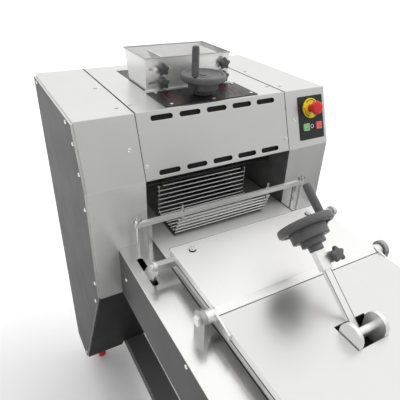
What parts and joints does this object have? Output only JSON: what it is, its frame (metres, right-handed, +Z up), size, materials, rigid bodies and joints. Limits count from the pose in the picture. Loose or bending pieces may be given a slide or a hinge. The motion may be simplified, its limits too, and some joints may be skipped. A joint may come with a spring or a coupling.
{
  "type": "long dough moulder",
  "caption": "Bakery dough moulder on castors: towers with hopper and sheeting rollers, belt table with rod mat, hinged pressure board and handwheels.",
  "frame": {"origin": "on the floor under the middle of the overall box", "axes": "+X to the operator's right, +Y from the table end to the back of the housing, +Z up"},
  "size_m": [0.7928, 1.594, 1.4316],
  "materials": {
    "housing_steel": "brushed stainless steel sheet",
    "deck_steel": "bright polished stainless steel",
    "frame_steel": "dark painted steel",
    "bright_steel": "ground bright steel",
    "black_plate": "black printed plate",
    "belt": "light grey food belt",
    "white_plastic": "white food-grade plastic",
    "wheel_black": "dark grey moulded plastic",
    "knob_black": "black moulded plastic",
    "estop_red": "red moulded plastic",
    "estop_yellow": "yellow moulded plastic",
    "start_green": "green moulded plastic",
    "stop_red": "red moulded plastic",
    "castor_red": "red polyurethane",
    "motor_grey": "grey paint",
    "zinc": "zinc-plated steel"
  },
  "bodies": {
    "frame": {"base_frame": "housing_steel", "belt_bed": "housing_steel", "board_bar": "bright_steel", "board_posts": "bright_steel", "board_shaft": "bright_steel", "castor_mounts": "zinc", "centre_cover": "housing_steel", "chain_mat": "bright_steel", "control_plate": "black_plate", "conveyor_belt": "belt", "cover_screws": "zinc", "drive_chain": "zinc", "estop_collar": "estop_yellow", "frame_plates": "frame_steel", "gearmotor": "motor_grey", "hopper": "housing_steel", "index_plate": "black_plate", "left_housing": "housing_steel", "left_table": "deck_steel", "lower_front_panel": "housing_steel", "mat_bar": "bright_steel", "mat_fittings": "bright_steel", "rear_board_plate": "deck_steel", "rear_board_slab": "white_plastic", "rear_panel": "housing_steel", "right_housing": "housing_steel", "right_table": "deck_steel", "shaft_bearings": "zinc", "side_covers": "housing_steel", "table_end": "housing_steel"},
    "gap_wheel": {"gap_wheel": "wheel_black"},
    "gap_grip": {"gap_grip": "wheel_black"},
    "carriage": {"roller_carriage": "frame_steel"},
    "moving_roller": {"moving_roller": "white_plastic"},
    "fixed_roller": {"fixed_roller": "white_plastic"},
    "drive_drum": {"drive_drum": "bright_steel"},
    "idler_drum": {"idler_drum": "bright_steel"},
    "left_guide": {"left_guide": "housing_steel"},
    "right_guide": {"right_guide": "housing_steel"},
    "upper_left_knob": {"upper_left_knob": "knob_black"},
    "lower_left_knob": {"lower_left_knob": "knob_black"},
    "upper_right_knob": {"upper_right_knob": "knob_black"},
    "lower_right_knob": {"lower_right_knob": "knob_black"},
    "estop_button": {"estop_button": "estop_red"},
    "start_button": {"start_button": "start_green"},
    "stop_button": {"stop_button": "stop_red"},
    "board": {"board_plate": "deck_steel", "board_slab": "white_plastic", "board_fittings": "bright_steel"},
    "arm": {"arm_bar": "bright_steel"},
    "sleeve": {"arm_sleeve": "bright_steel"},
    "arm_knob": {"arm_knob": "knob_black"},
    "pressure_wheel": {"pressure_wheel": "wheel_black"},
    "pressure_grip": {"pressure_grip": "wheel_black"},
    "left_front_fork": {"left_front_fork": "zinc"},
    "right_front_fork": {"right_front_fork": "zinc"},
    "left_front_wheel": {"left_front_wheel": "castor_red"},
    "right_front_wheel": {"right_front_wheel": "castor_red"},
    "left_rear_wheel": {"left_rear_wheel": "castor_red"},
    "right_rear_wheel": {"right_rear_wheel": "castor_red"}
  },
  "joints": [
    {"name": "gap_turn", "type": "hinge", "parent": "frame", "child": "gap_wheel", "pos_m": [0, 0.398, 1.2946], "axis": [0, 0, 1], "range_deg": [0, 180]},
    {"name": "gap_grip_spin", "type": "hinge", "parent": "gap_wheel", "child": "gap_grip", "pos_m": [-0.04062, 0.3706, 1.37], "axis": [0, 0, 1], "continuous": true},
    {"name": "carriage_slide", "type": "slide", "parent": "frame", "child": "carriage", "axis": [0, -1, 0], "range_m": [0, 0.012]},
    {"name": "drive_spin", "type": "hinge", "parent": "frame", "child": "drive_drum", "pos_m": [0, 0.573, 0.9067], "axis": [1, 0, 0], "continuous": true},
    {"name": "fixed_roller_spin", "type": "hinge", "parent": "frame", "child": "fixed_roller", "pos_m": [0, 0.604, 1.162], "axis": [1, 0, 0], "continuous": true},
    {"name": "moving_roller_spin", "type": "hinge", "parent": "carriage", "child": "moving_roller", "pos_m": [0, 0.5, 1.162], "axis": [1, 0, 0], "continuous": true},
    {"name": "idler_spin", "type": "hinge", "parent": "frame", "child": "idler_drum", "pos_m": [0, -0.752, 0.9067], "axis": [1, 0, 0], "continuous": true},
    {"name": "left_guide_slide", "type": "slide", "parent": "frame", "child": "left_guide", "axis": [1, 0, 0], "range_m": [-0.02, 0.02]},
    {"name": "right_guide_slide", "type": "slide", "parent": "frame", "child": "right_guide", "axis": [1, 0, 0], "range_m": [-0.045, 0.004]},
    {"name": "upper_left_knob_turn", "type": "hinge", "parent": "left_guide", "child": "upper_left_knob", "pos_m": [-0.0865, 0.485, 1.3515], "axis": [0, -1, 0], "range_deg": [0, 180]},
    {"name": "lower_left_knob_turn", "type": "hinge", "parent": "left_guide", "child": "lower_left_knob", "pos_m": [-0.0865, 0.485, 1.3125], "axis": [0, -1, 0], "range_deg": [0, 180]},
    {"name": "upper_right_knob_turn", "type": "hinge", "parent": "right_guide", "child": "upper_right_knob", "pos_m": [0.1155, 0.485, 1.3515], "axis": [0, -1, 0], "range_deg": [0, 180]},
    {"name": "lower_right_knob_turn", "type": "hinge", "parent": "right_guide", "child": "lower_right_knob", "pos_m": [0.1155, 0.485, 1.3125], "axis": [0, -1, 0], "range_deg": [0, 180]},
    {"name": "estop_press", "type": "slide", "parent": "frame", "child": "estop_button", "axis": [0, 0.9391, -0.3436], "range_m": [0, 0.004], "stiffness_N_per_m": 600},
    {"name": "start_press", "type": "slide", "parent": "frame", "child": "start_button", "axis": [0, 0.9391, -0.3436], "range_m": [0, 0.003], "stiffness_N_per_m": 400},
    {"name": "stop_press", "type": "slide", "parent": "frame", "child": "stop_button", "axis": [0, 0.9391, -0.3436], "range_m": [0, 0.003], "stiffness_N_per_m": 400},
    {"name": "board_lift", "type": "hinge", "parent": "frame", "child": "board", "pos_m": [0, -0.1, 0.993], "axis": [-1, 0, 0], "range_deg": [0, 20]},
    {"name": "arm_tilt", "type": "hinge", "parent": "board", "child": "arm", "pos_m": [0, -0.275, 0.985], "axis": [1, 0, 0], "range_deg": [0, 40]},
    {"name": "arm_extend", "type": "slide", "parent": "arm", "child": "sleeve", "axis": [0, 0.7986, 0.6018], "range_m": [-0.006, 0.012]},
    {"name": "pressure_turn", "type": "hinge", "parent": "sleeve", "child": "pressure_wheel", "pos_m": [0, -0.12621, 1.09712], "axis": [0, 0.7986, 0.6018], "range_deg": [-120, 240]},
    {"name": "pressure_grip_spin", "type": "hinge", "parent": "pressure_wheel", "child": "pressure_grip", "pos_m": [0.04863, -0.07095, 1.14624], "axis": [0, 0.7986, 0.6018], "continuous": true},
    {"name": "arm_knob_turn", "type": "hinge", "parent": "sleeve", "child": "arm_knob", "pos_m": [0.031, -0.14763, 1.08849], "axis": [0, -0.6018, 0.7986], "range_deg": [0, 180]},
    {"name": "left_fork_swivel", "type": "hinge", "parent": "frame", "child": "left_front_fork", "pos_m": [-0.181, -0.657, 0.095], "axis": [0, 0, 1], "continuous": true},
    {"name": "left_front_wheel_spin", "type": "hinge", "parent": "left_front_fork", "child": "left_front_wheel", "pos_m": [-0.181, -0.631, 0.0375], "axis": [1, 0, 0], "continuous": true},
    {"name": "left_rear_wheel_spin", "type": "hinge", "parent": "frame", "child": "left_rear_wheel", "pos_m": [-0.318, 0.72, 0.0375], "axis": [1, 0, 0], "continuous": true},
    {"name": "right_fork_swivel", "type": "hinge", "parent": "frame", "child": "right_front_fork", "pos_m": [0.181, -0.657, 0.095], "axis": [0, 0, 1], "continuous": true},
    {"name": "right_front_wheel_spin", "type": "hinge", "parent": "right_front_fork", "child": "right_front_wheel", "pos_m": [0.181, -0.631, 0.0375], "axis": [1, 0, 0], "continuous": true},
    {"name": "right_rear_wheel_spin", "type": "hinge", "parent": "frame", "child": "right_rear_wheel", "pos_m": [0.318, 0.72, 0.0375], "axis": [1, 0, 0], "continuous": true}
  ],
  "couplings": [
    {"joint": "gap_turn", "follows": "carriage_slide", "rad_per_m": 261.8},
    {"joint": "fixed_roller_spin", "follows": "drive_spin", "ratio": 1},
    {"joint": "moving_roller_spin", "follows": "drive_spin", "ratio": -1},
    {"joint": "idler_spin", "follows": "drive_spin", "ratio": 1},
    {"joint": "arm_extend", "follows": "pressure_turn", "m_per_rad": 0.0028648}
  ]
}
